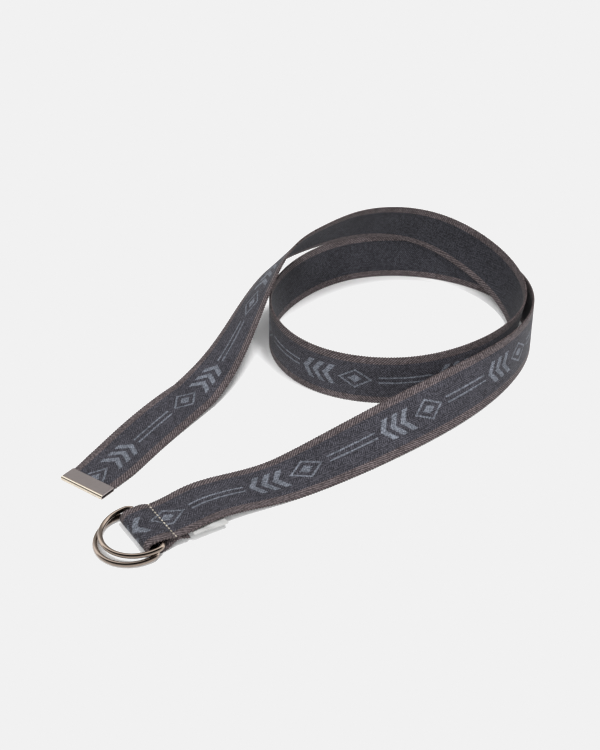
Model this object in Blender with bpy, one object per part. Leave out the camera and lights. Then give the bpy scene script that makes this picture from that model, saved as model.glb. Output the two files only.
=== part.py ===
"""Double ring belt: one webbing strap coiled on its edge, two stacked D rings
in its sewn loop, a metal clip on its tip and a small label under the loop.

Everything is in metres, +Z is up and the floor is z = 0.
"""
import math

import bmesh
import bpy
import numpy as np

MM = 0.001
SMOOTH_BELOW = math.radians(35.0)

STRAP_WIDTH = 30.0 * MM
STRAP_THICKNESS = 1.2 * MM
STRAP_EDGE_CHAMFER = 0.3 * MM
STRAP_STEP = 6.0 * MM
GAP = 0.3 * MM

CLIP_LENGTH = 9.0 * MM
CLIP_WIDTH = 28.0 * MM
STRAP_NARROWS_OVER = 14.0 * MM
CLIP_WALL = 0.4 * MM
CLIP_PINCHED_STRAP = 0.8 * MM
CLIP_STRAP_END = 1.2 * MM

RING_WIRE = 2.5 * MM
RING_INNER_WIDTH = 33.0 * MM
RING_BAR_BEHIND_CENTRE = 5.0 * MM
RING_CORNER_RADIUS = 4.0 * MM
RING_WIRE_SIDES = 14

LOOP_TOP_HEIGHT = 7.95 * MM
LOOP_FOLD_FROM_STITCH = 11.0 * MM
LOOP_FOLD_WIDTH = 29.0 * MM

LABEL_WIDTH = 20.0 * MM
LABEL_THICKNESS = 0.4 * MM
LABEL_OUT_OF_EDGE = 2.8 * MM

# The strap's path seen from above, from the tip to the stitch line of the loop.
# lean: 0 lies face up, 90 stands on its left edge, face outwards.
# lift: how far the lowest edge is off the floor.
# section, x mm, y mm, lean deg, lift mm
STATIONS = (
    ("tip in the clip", -108.7, -107.9, 0.0, 0.5),
    ("clip mouth", -103.7, -100.8, 0.0, 0.5),
    ("tip strand", -85.0, -67.0, -3.5, 0.0),
    ("tip strand lifts", -56.0, -21.0, 2.0, 3.5),
    ("twist begins", -43.0, 1.0, 17.0, 8.0),
    ("quarter twist", -32.0, 22.0, 31.0, 17.0),
    ("twist beside turn 2", -8.0, 65.5, 47.5, 33.5),
    ("over turn 2", 10.8, 84.1, 52.5, 35.2),
    ("crest", 31.7, 100.2, 58.0, 34.5),
    ("down inside turn 2", 80.0, 115.5, 72.0, 24.5),
    ("down at the shoulder", 104.0, 108.0, 90.0, 15.0),
    ("turn 1 right back", 122.0, 90.5, 102.5, 7.0),
    ("turn 1 right", 130.0, 37.0, 100.0, 0.0),
    ("turn 1 right front", 103.0, -8.0, 88.0, 0.0),
    ("turn 1 front", 55.5, -29.5, 91.0, 0.0),
    ("turn 1 left front", 6.0, -15.0, 90.0, 0.0),
    ("turn 2 left", -17.5, 32.0, 89.0, 0.0),
    ("turn 2 left back", -5.0, 83.5, 93.0, 0.0),
    ("turn 2 back", 33.5, 120.0, 94.0, 0.0),
    ("turn 2 right back", 86.5, 121.0, 91.0, 0.0),
    ("turn 2 shoulder", 128.0, 88.5, 90.0, 0.0),
    ("turn 2 right", 137.5, 36.5, 89.5, 0.0),
    ("turn 2 right front", 113.5, -13.5, 78.0, 0.5),
    ("ring strand leans", 74.0, -49.5, 51.0, 0.5),
    ("ring strand falls", 30.0, -80.0, 27.0, 0.0),
    ("ring strand flat", -16.0, -107.0, 5.5, 0.8),
    ("ring strand rises", -33.5, -116.0, 3.0, 3.0),
    ("ring strand arches", -48.0, -125.5, 2.5, 4.6),
    ("before the stitches", -56.5, -133.0, 0.5, 5.4),
    ("stitch line", -65.0, -139.0, 0.0, 5.4),
)

# The loop seen from its side: distance from the stitch line, height.
# spot, mm, mm
LOOP_RISE = (
    ("over the stitches", 1.5, 6.55),
    ("beside the upper bar", 4.5, 7.6),
    ("on the upper bar", 7.0, 7.95),
)
LOOP_RETURN = (
    ("under the lower bar", 8.0, 0.6),
    ("rising to the stitches", 3.5, 2.2),
    ("under the stitches", 0.0, 4.5),
    ("tail end", -7.0, 4.2),
)

# ring: distance of its arc's centre from the stitch line, sideways, height of
# its bar, fall towards the arc per metre
RINGS = {
    "ring_upper": (12.0 * MM, 0.5 * MM, 5.78 * MM, 0.055),
    "ring_lower": (15.2 * MM, 0.0 * MM, 2.75 * MM, 0.065),
}

# label, seen from its side: distance from the stitch line, height
LABEL_PROFILE = (
    ("sewn end under the strap", -8.0, 4.85),
    ("falling", -13.0, 4.4),
    ("under the arch", -20.0, 3.5),
    ("free end", -27.0, 2.6),
)

MATERIALS = {
    "webbing": {"color": (0.035, 0.037, 0.043, 1.0), "metallic": 0.0, "roughness": 0.85},
    "gunmetal_upper": {"color": (0.16, 0.14, 0.13, 1.0), "metallic": 1.0, "roughness": 0.22},
    "gunmetal_lower": {"color": (0.15, 0.13, 0.12, 1.0), "metallic": 1.0, "roughness": 0.24},
    "satin_clip": {"color": (0.25, 0.23, 0.22, 1.0), "metallic": 1.0, "roughness": 0.42},
    "white_satin": {"color": (0.72, 0.73, 0.73, 1.0), "metallic": 0.0, "roughness": 0.5},
}


def clear_scene():
    """Remove every object, mesh and material of the default scene."""
    for obj in list(bpy.data.objects):
        bpy.data.objects.remove(obj, do_unlink=True)
    for mesh in list(bpy.data.meshes):
        bpy.data.meshes.remove(mesh)
    for material in list(bpy.data.materials):
        bpy.data.materials.remove(material)


def natural_spline(knots, values, where):
    """Natural cubic spline through values (n, k) at knots, read at where."""
    n = len(knots)
    h = np.diff(knots)
    system = np.eye(n)
    right = np.zeros_like(values)
    for i in range(1, n - 1):
        system[i, i - 1:i + 2] = h[i - 1], 2 * (h[i - 1] + h[i]), h[i]
        right[i] = 6 * ((values[i + 1] - values[i]) / h[i] - (values[i] - values[i - 1]) / h[i - 1])
    bend = np.linalg.solve(system, right)
    i = np.clip(np.searchsorted(knots, where) - 1, 0, n - 2)
    a = ((knots[i + 1] - where) / h[i])[:, None]
    b = 1.0 - a
    square = (h[i] ** 2)[:, None] / 6.0
    return (a * values[i] + b * values[i + 1]
            + ((a ** 3 - a) * bend[i] + (b ** 3 - b) * bend[i + 1]) * square)


def chord_knots(points):
    """Running chord length along points."""
    return np.r_[0.0, np.cumsum(np.linalg.norm(np.diff(points, axis=0), axis=1))]


def unit(rows):
    """Rows scaled to length one."""
    return rows / np.linalg.norm(rows, axis=-1, keepdims=True)


def strap_run():
    """Centre, across and face directions of the strap from tip to stitch line."""
    table = np.array([row[1:] for row in STATIONS])
    knots = chord_knots(table[:, :2] * MM)
    spots = np.linspace(0.0, knots[-1], int(knots[-1] / STRAP_STEP) + 1)
    spots = np.unique(np.r_[spots, CLIP_STRAP_END, CLIP_LENGTH, CLIP_LENGTH + 2 * MM])
    x, y, lean, lift = natural_spline(knots, table, spots).T
    lean = np.radians(lean)
    height = (np.maximum(lift, 0.0) * MM + 0.5 * STRAP_WIDTH * np.abs(np.sin(lean))
              + 0.5 * STRAP_THICKNESS * np.abs(np.cos(lean)))
    centre = np.c_[x * MM, y * MM, height]
    along = unit(np.gradient(centre, spots, axis=0))
    side = unit(np.cross(along, (0.0, 0.0, 1.0)))
    rise = np.cross(side, along)
    across = np.cos(lean)[:, None] * side + np.sin(lean)[:, None] * rise
    return centre, across, np.cross(across, along)


def loop_frame(centre, across):
    """Floor point under the stitch line, outward and sideways directions."""
    foot = centre[-1] * (1.0, 1.0, 0.0)
    sideways = unit(across[-1] * (1.0, 1.0, 0.0))
    outward = np.array((-sideways[1], sideways[0], 0.0))
    if np.dot(outward, centre[-1] - centre[-2]) < 0:
        outward = -outward
    return foot, outward, sideways


def loop_profile(start_height):
    """The loop's middle line as (distance out, height) from stitches to tail."""
    rise = np.array([(0.0, start_height / MM)] + [row[1:] for row in LOOP_RISE]) * MM
    radius = 0.5 * (LOOP_TOP_HEIGHT - 0.5 * STRAP_THICKNESS)
    middle = LOOP_TOP_HEIGHT - radius
    turn = np.linspace(math.pi / 2, -math.pi / 2, 15)
    fold = np.c_[LOOP_FOLD_FROM_STITCH + radius * np.cos(turn), middle + radius * np.sin(turn)]
    back = np.array([row[1:] for row in LOOP_RETURN]) * MM
    pieces = []
    for line, count in ((np.r_[rise, fold[:1]], 13), (np.r_[fold[-1:], back], 16)):
        knots = chord_knots(line)
        pieces.append(natural_spline(knots, line, np.linspace(0.0, knots[-1], count)))
    return np.r_[pieces[0][1:], fold[1:-1], pieces[1]]


def sections_along(profile, foot, outward, sideways):
    """Turn a side profile into centres, across and face directions."""
    centre = foot + profile[:, :1] * outward + profile[:, 1:] * np.array((0.0, 0.0, 1.0))
    along = unit(np.gradient(centre, axis=0))
    across = np.repeat(sideways[None, :], len(profile), axis=0)
    return centre, across, unit(np.cross(across, along))


def loop_widths(profile):
    """The strap's width along the loop: the rings' corners squeeze its fold."""
    share = np.clip(profile[:, 0] / LOOP_FOLD_FROM_STITCH, 0.0, 1.0)
    share = share * share * (3.0 - 2.0 * share)
    return STRAP_WIDTH + share * (LOOP_FOLD_WIDTH - STRAP_WIDTH)


def flat_section(width, thickness, chamfer):
    """Corner points (across, face) of a flat bar with chamfered edges."""
    w, t, c = 0.5 * width, 0.5 * thickness, min(chamfer, 0.4 * thickness)
    return np.array(((w, -t + c), (w, t - c), (w - c, t), (-w + c, t),
                     (-w, t - c), (-w, -t + c), (-w + c, -t), (w - c, -t)))


def sweep(name, centre, across, face, shapes, closed=False):
    """Skin the section shapes along centre; closed joins the last to the first."""
    bm = bmesh.new()
    rings = []
    for point, a, f, shape in zip(centre, across, face, shapes):
        rings.append([bm.verts.new(point + p * a + q * f) for p, q in shape])
    pairs = list(zip(rings, rings[1:] + rings[:1])) if closed else list(zip(rings, rings[1:]))
    count = len(rings[0])
    for first, second in pairs:
        for i in range(count):
            j = (i + 1) % count
            bm.faces.new((first[i], first[j], second[j], second[i]))
    if not closed:
        bm.faces.new(rings[0])
        bm.faces.new(list(reversed(rings[-1])))
    return finish(name, bm)


def finish(name, bm):
    """Close, orient and link a mesh object."""
    bmesh.ops.triangulate(bm, faces=[f for f in bm.faces if len(f.verts) > 4])
    bmesh.ops.recalc_face_normals(bm, faces=bm.faces)
    mesh = bpy.data.meshes.new(name)
    bm.to_mesh(mesh)
    bm.free()
    mesh.shade_smooth()
    mesh.set_sharp_from_angle(angle=SMOOTH_BELOW)
    obj = bpy.data.objects.new(name, mesh)
    bpy.context.scene.collection.objects.link(obj)
    return obj


def build_strap():
    """The strap with its loop and tail as one body, and the loop's frame."""
    centre, across, face = strap_run()
    foot, outward, sideways = loop_frame(centre, across)
    profile = loop_profile(centre[-1][2])
    loop_centre, loop_across, loop_face = sections_along(profile, foot, outward, sideways)
    knots = chord_knots(centre)
    pinched = np.interp(knots, (CLIP_LENGTH, CLIP_LENGTH + 2 * MM),
                        (CLIP_PINCHED_STRAP, STRAP_THICKNESS))
    widths = np.interp(knots, (CLIP_LENGTH, CLIP_LENGTH + STRAP_NARROWS_OVER),
                       (CLIP_WIDTH, STRAP_WIDTH))
    keep = knots >= CLIP_STRAP_END - 1e-9
    shapes = [flat_section(w, t, STRAP_EDGE_CHAMFER) for w, t in zip(widths[keep], pinched[keep])]
    shapes += [flat_section(w, STRAP_THICKNESS, STRAP_EDGE_CHAMFER) for w in loop_widths(profile)]
    strap = sweep("strap", np.r_[centre[keep], loop_centre], np.r_[across[keep], loop_across],
                  np.r_[face[keep], loop_face], shapes)
    return strap, (centre, across, face), (foot, outward, sideways)


def build_clip(centre, across, face):
    """A folded metal plate over the strap's end: two walls joined at the tip."""
    end = centre[0]
    along = unit(centre[1] - centre[0])
    outer = 0.5 * CLIP_PINCHED_STRAP + GAP + CLIP_WALL
    inner = outer - CLIP_WALL
    a, f = across[0], face[0]
    turn = np.linspace(math.pi / 2, 3 * math.pi / 2, 9)
    outline = [(CLIP_LENGTH, outer)]
    outline += [(outer + outer * math.cos(t), outer * math.sin(t)) for t in turn]
    outline += [(CLIP_LENGTH, -outer), (CLIP_LENGTH, -inner)]
    outline += [(outer + inner * math.cos(t), inner * math.sin(t)) for t in reversed(turn)]
    outline += [(CLIP_LENGTH, inner)]
    bm = bmesh.new()
    half = 0.5 * CLIP_WIDTH
    sides = []
    for offset in (-half, half):
        sides.append([bm.verts.new(end + s * along + h * f + offset * a) for s, h in outline])
    count = len(outline)
    for i in range(count):
        j = (i + 1) % count
        bm.faces.new((sides[0][i], sides[0][j], sides[1][j], sides[1][i]))
    half_count = count // 2
    for ring in sides:
        for i in range(half_count - 1):
            bm.faces.new((ring[i], ring[i + 1], ring[count - 2 - i], ring[count - 1 - i]))
    return finish("strap_tip", bm)


def ring_outline():
    """Middle line of a D ring as (out from the arc's centre, sideways)."""
    radius = 0.5 * (RING_INNER_WIDTH + RING_WIRE)
    corner = RING_CORNER_RADIUS
    bar = -RING_BAR_BEHIND_CENTRE
    points = [(radius * math.cos(t), radius * math.sin(t))
              for t in np.linspace(-math.pi / 2, math.pi / 2, 33)]
    for sign, angles in ((1, np.linspace(90, 180, 7)), (-1, np.linspace(180, 270, 7))):
        for t in np.radians(angles):
            points.append((bar + corner + corner * math.cos(t),
                           sign * (radius - corner) + corner * math.sin(t)))
    return np.array(points)


def build_ring(name, foot, outward, sideways):
    """A closed D of round wire, leaning a little towards its arc."""
    out, aside, bar_height, fall = RINGS[name]
    plan = ring_outline()
    height = bar_height - fall * (plan[:, 0] + RING_BAR_BEHIND_CENTRE)
    centre = (foot + (out + plan[:, :1]) * outward + (aside + plan[:, 1:]) * sideways
              + height[:, None] * np.array((0.0, 0.0, 1.0)))
    along = unit(np.roll(centre, -1, axis=0) - np.roll(centre, 1, axis=0))
    normal = unit(np.cross(outward + np.array((0.0, 0.0, -fall)), sideways))
    normal = np.repeat(normal[None, :] * np.sign(normal[2]), len(centre), axis=0)
    inward = unit(np.cross(along, normal))
    turn = np.linspace(0.0, 2 * math.pi, RING_WIRE_SIDES, endpoint=False)
    circle = 0.5 * RING_WIRE * np.c_[np.cos(turn), np.sin(turn)]
    return sweep(name, centre, inward, normal, [circle] * len(centre), closed=True)


def build_label(foot, outward, sideways):
    """A thin woven label under the strap, out of the near edge a little."""
    line = np.array([row[1:] for row in LABEL_PROFILE]) * MM
    knots = chord_knots(line)
    profile = natural_spline(knots, line, np.linspace(0.0, knots[-1], 10))
    near = sideways if sideways[1] < 0 else -sideways
    shift = 0.5 * (STRAP_WIDTH - LABEL_WIDTH) + LABEL_OUT_OF_EDGE
    centre, across, face = sections_along(profile, foot + shift * near, outward, sideways)
    shape = flat_section(LABEL_WIDTH, LABEL_THICKNESS, 0.1 * MM)
    return sweep("care_label", centre, across, face, [shape] * len(centre))


def paint(obj, material_name):
    """Give an object its own Principled material."""
    values = MATERIALS[material_name]
    material = bpy.data.materials.new(material_name)
    material.use_nodes = True
    shader = material.node_tree.nodes["Principled BSDF"]
    shader.inputs["Base Color"].default_value = values["color"]
    shader.inputs["Metallic"].default_value = values["metallic"]
    shader.inputs["Roughness"].default_value = values["roughness"]
    obj.data.materials.append(material)


def centre_on_floor(objects):
    """Move all pieces so that their common box stands on the origin."""
    points = np.array([v.co for obj in objects for v in obj.data.vertices])
    low, high = points.min(axis=0), points.max(axis=0)
    shift = np.array((0.5 * (low[0] + high[0]), 0.5 * (low[1] + high[1]), low[2]))
    for obj in objects:
        for vertex in obj.data.vertices:
            vertex.co = np.array(vertex.co) - shift
        obj.data.update()


def main():
    """Build the belt."""
    clear_scene()
    strap, run, frame = build_strap()
    clip = build_clip(*run)
    rings = [build_ring(name, *frame) for name in RINGS]
    label = build_label(*frame)
    paint(strap, "webbing")
    paint(clip, "satin_clip")
    paint(rings[0], "gunmetal_upper")
    paint(rings[1], "gunmetal_lower")
    paint(label, "white_satin")
    centre_on_floor([strap, clip, *rings, label])


main()
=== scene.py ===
"""Looks of a double ring belt that lies loosely coiled on its edge.

A jacquard-woven webbing strap runs from a folded metal tip clip, twice round a
coil, to a sewn pocket that holds two gunmetal D rings. Everything is in metres,
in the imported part's frame, with +Z up and the table top at z = 0.
"""
import logging
import math
from dataclasses import dataclass, field
from enum import Enum

import bmesh
import bpy
import numpy as np
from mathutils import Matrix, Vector


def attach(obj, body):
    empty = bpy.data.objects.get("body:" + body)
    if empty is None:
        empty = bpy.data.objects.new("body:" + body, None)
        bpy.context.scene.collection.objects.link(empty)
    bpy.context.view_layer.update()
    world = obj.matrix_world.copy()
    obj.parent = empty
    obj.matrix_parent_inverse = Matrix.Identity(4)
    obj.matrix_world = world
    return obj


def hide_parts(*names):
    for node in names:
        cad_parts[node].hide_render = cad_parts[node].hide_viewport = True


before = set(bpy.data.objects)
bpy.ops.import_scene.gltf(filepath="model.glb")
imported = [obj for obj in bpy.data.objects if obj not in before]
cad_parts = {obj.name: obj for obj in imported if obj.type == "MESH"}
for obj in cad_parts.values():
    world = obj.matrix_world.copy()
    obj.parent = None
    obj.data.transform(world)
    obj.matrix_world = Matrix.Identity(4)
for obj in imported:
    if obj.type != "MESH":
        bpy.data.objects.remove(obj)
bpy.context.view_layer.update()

LOG = logging.getLogger("double_ring_belt")
MM = 0.001
UP = np.array((0.0, 0.0, 1.0))
# The frame's origin, seen from the point that the strap's stations are measured from.
TABLE_ORIGIN = np.array((9.505, -20.005, -0.054)) * MM
# Added to the strap's across coordinate on its back, so that one UV map tells face from back.
BACK_MARK = 100.0 * MM


def linear(hex_colour: str) -> tuple[float, float, float, float]:
    """Turn an sRGB hex colour into linear RGBA.

    Args:
        hex_colour: Six hex digits after a hash sign.

    Returns:
        Linear red, green and blue, and full opacity.
    """
    values = [int(hex_colour[i:i + 2], 16) / 255.0 for i in (1, 3, 5)]
    parts = [c / 12.92 if c <= 0.04045 else ((c + 0.055) / 1.055) ** 2.4 for c in values]
    return parts[0], parts[1], parts[2], 1.0


def add_node(tree: bpy.types.NodeTree, kind: str, settings: dict | None = None,
             inputs: dict | None = None) -> bpy.types.Node:
    """Add a node, set its properties, and set or link its inputs.

    Args:
        tree: Node tree that gets the node.
        kind: Blender's node type name.
        settings: Property names and values.
        inputs: Input names or indices with a value, or an output socket to link.

    Returns:
        The new node.
    """
    node = tree.nodes.new(kind)
    for name, value in (settings or {}).items():
        setattr(node, name, value)
    for key, value in (inputs or {}).items():
        if isinstance(value, bpy.types.NodeSocket):
            tree.links.new(value, node.inputs[key])
        else:
            node.inputs[key].default_value = value
    return node


def unit(rows: np.ndarray) -> np.ndarray:
    """Scale rows to length one."""
    return rows / np.linalg.norm(rows, axis=-1, keepdims=True)


def chord_knots(points: np.ndarray) -> np.ndarray:
    """Give the running chord length along points."""
    return np.r_[0.0, np.cumsum(np.linalg.norm(np.diff(points, axis=0), axis=1))]


def natural_spline(knots: np.ndarray, values: np.ndarray, where: np.ndarray) -> np.ndarray:
    """Read a natural cubic spline.

    Args:
        knots: Rising parameters, one for each row of values.
        values: Rows that the spline passes through.
        where: Parameters to read it at.

    Returns:
        One row for each parameter.
    """
    n = len(knots)
    h = np.diff(knots)
    system = np.eye(n)
    right = np.zeros_like(values)
    for i in range(1, n - 1):
        system[i, i - 1:i + 2] = h[i - 1], 2 * (h[i - 1] + h[i]), h[i]
        right[i] = 6 * ((values[i + 1] - values[i]) / h[i] - (values[i] - values[i - 1]) / h[i - 1])
    bend = np.linalg.solve(system, right)
    i = np.clip(np.searchsorted(knots, where) - 1, 0, n - 2)
    a = ((knots[i + 1] - where) / h[i])[:, None]
    b = 1.0 - a
    square = (h[i] ** 2)[:, None] / 6.0
    return (a * values[i] + b * values[i + 1]
            + ((a ** 3 - a) * bend[i] + (b ** 3 - b) * bend[i + 1]) * square)


def mesh_object(name: str, bm: bmesh.types.BMesh, material: bpy.types.Material) -> bpy.types.Object:
    """Turn a bmesh into a smooth, outward-facing object with one material.

    Args:
        name: Piece name.
        bm: Geometry, freed here.
        material: Finish of the piece.

    Returns:
        The linked object.
    """
    bmesh.ops.recalc_face_normals(bm, faces=bm.faces)
    mesh = bpy.data.meshes.new(name)
    bm.to_mesh(mesh)
    bm.free()
    mesh.materials.append(material)
    mesh.shade_smooth()
    mesh.set_sharp_from_angle(angle=math.radians(40.0))
    obj = bpy.data.objects.new(name, mesh)
    bpy.context.scene.collection.objects.link(obj)
    return obj


def grow(name: str, guide_mesh: bpy.types.Mesh, tree: bpy.types.GeometryNodeTree,
         values: dict) -> bpy.types.Mesh:
    """Run a node tree on a guide mesh and bake what it makes.

    Args:
        name: Piece name.
        guide_mesh: Points or path that the tree starts from.
        tree: Geometry node tree with named inputs.
        values: Value of each named input.

    Returns:
        The baked mesh; the guide is gone.
    """
    guide = bpy.data.objects.new(f"{name}_guide", guide_mesh)
    bpy.context.scene.collection.objects.link(guide)
    modifier = guide.modifiers.new("nodes", "NODES")
    modifier.node_group = tree
    for item in tree.interface.items_tree:
        if item.in_out == "INPUT" and item.name in values:
            modifier[item.identifier] = values[item.name]
    guide.update_tag()
    graph = bpy.context.evaluated_depsgraph_get()
    baked = bpy.data.meshes.new_from_object(guide.evaluated_get(graph))
    bpy.data.objects.remove(guide)
    return baked


class Slot(Enum):
    """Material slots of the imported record."""

    WEBBING = "webbing"
    RING_UPPER = "gunmetal_upper"
    RING_LOWER = "gunmetal_lower"
    CLIP = "satin_clip"
    LABEL = "white_satin"


def seat(piece: bpy.types.Object, node: str | None = None) -> None:
    """Tie a piece to the belt's one body.

    Args:
        piece: Finished piece.
        node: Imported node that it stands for, if any.
    """
    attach(piece, "root")
    if node:
        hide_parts(node)
    LOG.info("%s: %d faces", piece.name, len(piece.data.polygons))


@dataclass(frozen=True)
class WebbingFinish:
    """Jacquard-woven polyester webbing: matte, dark and speckled by its yarns.

    A charcoal herringbone ground, taupe twill borders, and slate blue bars
    floated on the face only. The real twill steps by about 0.5 mm; it is drawn
    about three times as coarse, so that it shows at the size of the picture.
    """

    ground: str = "#4a4950"
    ground_gap: str = "#19191c"
    back: str = "#3e3e44"
    border: str = "#6a6162"
    border_gap: str = "#2e292b"
    bar: str = "#6f737c"
    border_inner_mm: float = 10.6
    half_width_mm: float = 15.0
    border_blend_mm: float = 0.15
    twill_pitch_mm: float = 1.4
    border_pitch_mm: float = 1.6
    herringbone_mm: float = 3.0
    thread_mm: float = 0.45
    yarn_mm: tuple = (0.8, 0.55)
    # shares of full light: darkest and lightest yarn, twill's valleys, valleys in the bars
    yarn_shades: tuple = (0.5, 1.5)
    valley: float = 0.18
    bar_valley: float = 0.55
    cloud_mm: float = 20.0
    # selvedge: where the shade starts and is full, in from the edge, and its share of light
    rim_mm: tuple = (0.9, 0.2)
    rim_shade: float = 0.35
    repeat_mm: float = 78.0
    # bar, centre along mm, centre across mm, half length mm, half height mm, slant
    bars: tuple = (
        ("first chevron", 27.5, 0.0, 1.7, 6.2, 0.75),
        ("second chevron", 34.0, 0.0, 1.7, 6.2, 0.75),
        ("third chevron", 40.5, 0.0, 1.7, 6.2, 0.75),
        ("rails", 60.0, 1.7, 15.0, 0.5, 0.0),
    )
    # centre along mm, half length mm, half height mm
    lozenge_mm: tuple = (10.0, 9.5, 6.0)
    # the lozenge's line and core: share of the way out, half its breadth as such a share
    lozenge_lines: tuple = ((0.92, 0.09), (0.0, 0.4))

    def _motif(self, tree: bpy.types.NodeTree, along: bpy.types.NodeSocket,
               across: bpy.types.NodeSocket) -> bpy.types.NodeSocket:
        """Mask of the floated bars: 1 on a bar, 0 off it.

        Args:
            tree: Shader tree.
            along: Distance along the strap in mm.
            across: Distance from the strap's middle in mm.

        Returns:
            The mask's socket.
        """
        step_u = add_node(tree, "ShaderNodeMath", {"operation": "SNAP"}, {0: along, 1: self.thread_mm})
        step_v = add_node(tree, "ShaderNodeMath", {"operation": "SNAP"}, {0: across, 1: self.thread_mm})
        cell = add_node(tree, "ShaderNodeMath", {"operation": "FLOORED_MODULO"},
                        {0: step_u.outputs[0], 1: self.repeat_mm})
        fold = add_node(tree, "ShaderNodeMath", {"operation": "ABSOLUTE"}, {0: step_v.outputs[0]})
        total = None
        for _, centre_u, centre_v, half_u, half_v, slant in self.bars:
            du = add_node(tree, "ShaderNodeMath", {"operation": "SUBTRACT"},
                          {0: cell.outputs[0], 1: centre_u})
            dv = add_node(tree, "ShaderNodeMath", {"operation": "SUBTRACT"},
                          {0: fold.outputs[0], 1: centre_v})
            lean = add_node(tree, "ShaderNodeMath", {"operation": "MULTIPLY_ADD"},
                            {0: fold.outputs[0], 1: slant, 2: du.outputs[0]})
            across_bar = add_node(tree, "ShaderNodeMath", {"operation": "ABSOLUTE"}, {0: dv.outputs[0]})
            along_bar = add_node(tree, "ShaderNodeMath", {"operation": "ABSOLUTE"}, {0: lean.outputs[0]})
            in_v = add_node(tree, "ShaderNodeMath", {"operation": "LESS_THAN"},
                            {0: across_bar.outputs[0], 1: half_v})
            in_u = add_node(tree, "ShaderNodeMath", {"operation": "LESS_THAN"},
                            {0: along_bar.outputs[0], 1: half_u})
            bar = add_node(tree, "ShaderNodeMath", {"operation": "MULTIPLY"},
                           {0: in_u.outputs[0], 1: in_v.outputs[0]})
            total = bar.outputs[0] if total is None else add_node(
                tree, "ShaderNodeMath", {"operation": "MAXIMUM"}, {0: total, 1: bar.outputs[0]}).outputs[0]
        centre, half_u, half_v = self.lozenge_mm
        du = add_node(tree, "ShaderNodeMath", {"operation": "SUBTRACT"}, {0: cell.outputs[0], 1: centre})
        du = add_node(tree, "ShaderNodeMath", {"operation": "ABSOLUTE"}, {0: du.outputs[0]})
        ru = add_node(tree, "ShaderNodeMath", {"operation": "DIVIDE"}, {0: du.outputs[0], 1: half_u})
        reach = add_node(tree, "ShaderNodeMath", {"operation": "MULTIPLY_ADD"},
                         {0: fold.outputs[0], 1: 1.0 / half_v, 2: ru.outputs[0]})
        for middle, tolerance in self.lozenge_lines:
            ring = add_node(tree, "ShaderNodeMath", {"operation": "COMPARE"},
                            {0: reach.outputs[0], 1: middle, 2: tolerance})
            total = add_node(tree, "ShaderNodeMath", {"operation": "MAXIMUM"},
                             {0: total, 1: ring.outputs[0]}).outputs[0]
        return total

    def build(self) -> bpy.types.Material:
        """Make the webbing's material, which reads the strap's own UV map.

        Returns:
            The material.
        """
        material = bpy.data.materials.new("woven_polyester_webbing")
        material.use_nodes = True
        tree = material.node_tree
        shader = tree.nodes["Principled BSDF"]
        uv = add_node(tree, "ShaderNodeUVMap", {"uv_map": "strap"})
        axes = add_node(tree, "ShaderNodeSeparateXYZ", None, {0: uv.outputs[0]})
        along = add_node(tree, "ShaderNodeMath", {"operation": "MULTIPLY"},
                         {0: axes.outputs[0], 1: 1.0 / MM}).outputs[0]
        raw = add_node(tree, "ShaderNodeMath", {"operation": "MULTIPLY"},
                       {0: axes.outputs[1], 1: 1.0 / MM}).outputs[0]
        on_back = add_node(tree, "ShaderNodeMath", {"operation": "GREATER_THAN"},
                           {0: raw, 1: 0.5 * BACK_MARK / MM}).outputs[0]
        across = add_node(tree, "ShaderNodeMath", {"operation": "MULTIPLY_ADD"},
                          {0: on_back, 1: -BACK_MARK / MM, 2: raw}).outputs[0]
        off_middle = add_node(tree, "ShaderNodeMath", {"operation": "ABSOLUTE"}, {0: across}).outputs[0]
        in_border = add_node(tree, "ShaderNodeMapRange", {"interpolation_type": "SMOOTHSTEP"},
                             {0: off_middle, 1: self.border_inner_mm - self.border_blend_mm,
                              2: self.border_inner_mm + self.border_blend_mm}).outputs[0]
        # The ground's twill turns back at each herringbone column; the borders' runs straight.
        fold = add_node(tree, "ShaderNodeMath", {"operation": "PINGPONG"},
                        {0: across, 1: self.herringbone_mm}).outputs[0]
        waves = []
        for lift, pitch in ((fold, self.twill_pitch_mm), (off_middle, self.border_pitch_mm)):
            phase = add_node(tree, "ShaderNodeMath", {"operation": "ADD"}, {0: along, 1: lift})
            turn = add_node(tree, "ShaderNodeMath", {"operation": "MULTIPLY"},
                            {0: phase.outputs[0], 1: 2 * math.pi / pitch})
            wave = add_node(tree, "ShaderNodeMath", {"operation": "SINE"}, {0: turn.outputs[0]})
            waves.append(add_node(tree, "ShaderNodeMath", {"operation": "MULTIPLY_ADD"},
                                  {0: wave.outputs[0], 1: 0.5, 2: 0.5}).outputs[0])
        # Each yarn has its own shade, and broad faint clouds lie over them.
        threads = add_node(tree, "ShaderNodeCombineXYZ", None, {0: along, 1: raw})
        snapped = add_node(tree, "ShaderNodeVectorMath", {"operation": "SNAP"},
                           {0: threads.outputs[0], 1: (*self.yarn_mm, 1.0)})
        melange = add_node(tree, "ShaderNodeTexWhiteNoise", {"noise_dimensions": "2D"},
                           {"Vector": snapped.outputs[0]}).outputs[0]
        cloud = add_node(tree, "ShaderNodeTexNoise", {"noise_dimensions": "2D"},
                         {"Vector": threads.outputs[0], "Scale": 1.0 / self.cloud_mm,
                          "Detail": 3.0}).outputs[0]
        ground = add_node(tree, "ShaderNodeMix", {"data_type": "RGBA"},
                          {0: on_back, 6: linear(self.ground), 7: linear(self.back)}).outputs[2]
        shown = add_node(tree, "ShaderNodeMapRange", None, {0: waves[0], 3: self.valley, 4: 1.0}).outputs[0]
        ground = add_node(tree, "ShaderNodeMix", {"data_type": "RGBA"},
                          {0: shown, 6: linear(self.ground_gap), 7: ground}).outputs[2]
        border = add_node(tree, "ShaderNodeMix", {"data_type": "RGBA"},
                          {0: waves[1], 6: linear(self.border_gap), 7: linear(self.border)}).outputs[2]
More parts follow.
